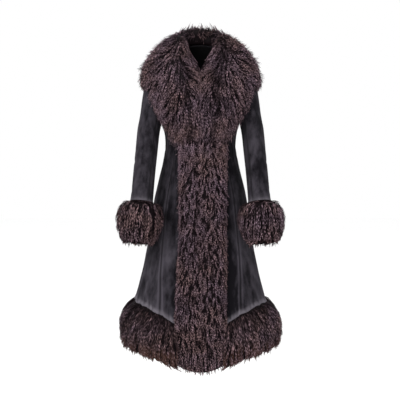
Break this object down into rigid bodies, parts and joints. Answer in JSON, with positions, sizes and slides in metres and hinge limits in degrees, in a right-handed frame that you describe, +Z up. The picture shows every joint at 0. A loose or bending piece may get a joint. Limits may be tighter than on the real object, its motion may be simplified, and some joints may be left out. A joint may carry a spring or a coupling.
{
  "type": "suede coat",
  "caption": "Long fitted and flared suede coat, worn hollow form, with deep curly long-hair fur on the collar, front edges, hem and cuffs.",
  "frame": {"origin": "middle of the coat at the neck ends of the shoulder seams, where the wearer's shoulders carry it", "axes": "+Z up, -Y out of the coat's front, +X to the wearer's left"},
  "size_m": [0.623, 0.507, 1.191],
  "materials": {
    "suede": "napped, matt",
    "fur": "long curly hair in locks, soft sheen",
    "lining": "smooth woven lining"
  },
  "bodies": {
    "root": {"front_left": "suede", "side_front_left": "suede", "side_back_left": "suede", "back_left": "suede", "front_right": "suede", "side_front_right": "suede", "side_back_right": "suede", "back_right": "suede", "sleeve_left_upper": "suede", "sleeve_left_under": "suede", "sleeve_right_upper": "suede", "sleeve_right_under": "suede", "back_neck_lining": "lining", "collar_left": "fur", "collar_right": "fur", "front_band_left": "fur", "front_band_right": "fur", "hem_fur_left": "fur", "hem_fur_right": "fur", "cuff_left": "fur", "cuff_right": "fur"}
  },
  "joints": []
}
